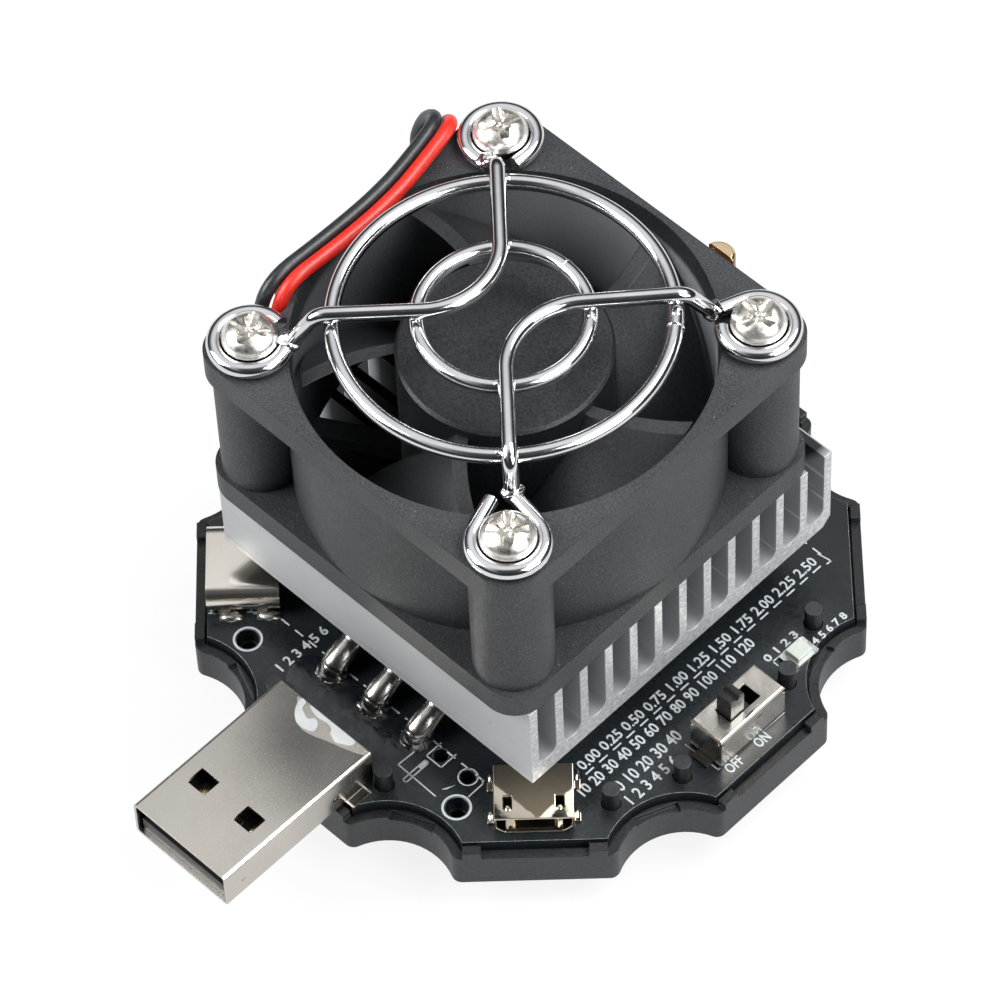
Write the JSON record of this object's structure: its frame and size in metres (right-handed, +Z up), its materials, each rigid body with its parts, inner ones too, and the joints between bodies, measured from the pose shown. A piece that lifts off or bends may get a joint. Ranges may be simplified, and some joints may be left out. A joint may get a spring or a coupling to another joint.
{
  "type": "dc electronic load",
  "caption": "Compact dc electronic load: octagonal meter base, finned heatsink, guarded axial fan, plug, sockets, load switch and adjuster shaft.",
  "frame": {"origin": "centre of the flat underside of the base, in the display window's outer face", "axes": "+Z up along the fan axis direction, -Y along the plug towards its mouth, +X towards the load switch"},
  "size_m": [0.063, 0.077, 0.0513],
  "materials": {
    "housing": "fine spark texture",
    "window": "clear",
    "display": "dark glass",
    "foam": "matt",
    "board": "glossy lacquer",
    "black_plastic": "satin",
    "chip": "matt",
    "plated_steel": "nickel plate, satin",
    "contact": "gold plate",
    "lamp": "translucent",
    "solder": "bright solder",
    "heatsink": "extruded, sawn ends",
    "brass": "turned",
    "fan_plastic": "fine spark texture",
    "winding": "enamelled",
    "magnet": "matt",
    "shaft_steel": "ground",
    "guard_wire": "bright plate",
    "screw": "nickel plate",
    "black_lead": "smooth insulation",
    "red_lead": "smooth insulation"
  },
  "bodies": {
    "base": {"adjuster_body": "black_plastic", "adjuster_bushing": "brass", "amplifier_chip": "chip", "base_housing": "housing", "bearing_bush": "brass", "controller_chip": "chip", "display_foam": "foam", "display_module": "display", "display_window": "window", "fan_circuit_board": "board", "fan_frame": "fan_plastic", "fan_header": "black_plastic", "fan_lead_black": "black_lead", "fan_lead_red": "red_lead", "fan_plug": "black_plastic", "fan_screws": "screw", "fan_stator": "winding", "finger_guard": "guard_wire", "heatsink": "heatsink", "load_led": "lamp", "load_switch_base": "black_plastic", "load_switch_case": "plated_steel", "main_board": "board", "micro_usb_insert": "black_plastic", "micro_usb_shell": "plated_steel", "mode_tact_switch": "black_plastic", "power_transistor": "chip", "sense_resistor": "chip", "thermal_pad": "foam", "transistor_legs": "solder", "usb_a_contacts": "contact", "usb_a_insert": "black_plastic", "usb_a_shell": "plated_steel", "usb_c_insert": "black_plastic", "usb_c_shell": "plated_steel"},
    "fan_rotor": {"fan_rotor": "fan_plastic", "rotor_magnet": "magnet", "rotor_shaft": "shaft_steel"},
    "load_switch_knob": {"load_switch_knob": "black_plastic"},
    "adjuster_shaft": {"adjuster_shaft": "brass"},
    "mode_button": {"mode_button": "black_plastic"}
  },
  "joints": [
    {"name": "fan_spin", "type": "hinge", "parent": "base", "child": "fan_rotor", "pos_m": [0, -0.00175, 0.035], "axis": [0, 0, 1], "continuous": true},
    {"name": "load_switch_slide", "type": "slide", "parent": "base", "child": "load_switch_knob", "axis": [0, 1, 0], "range_m": [0, 0.002]},
    {"name": "adjuster_turn", "type": "hinge", "parent": "base", "child": "adjuster_shaft", "pos_m": [0, 0.0262, 0.02], "axis": [0, 0, 1], "range_deg": [-150, 150]},
    {"name": "mode_press", "type": "slide", "parent": "base", "child": "mode_button", "axis": [0, 0, 1], "range_m": [0, 0.0005], "stiffness_N_per_m": 200, "springref_m": -0.0002}
  ]
}
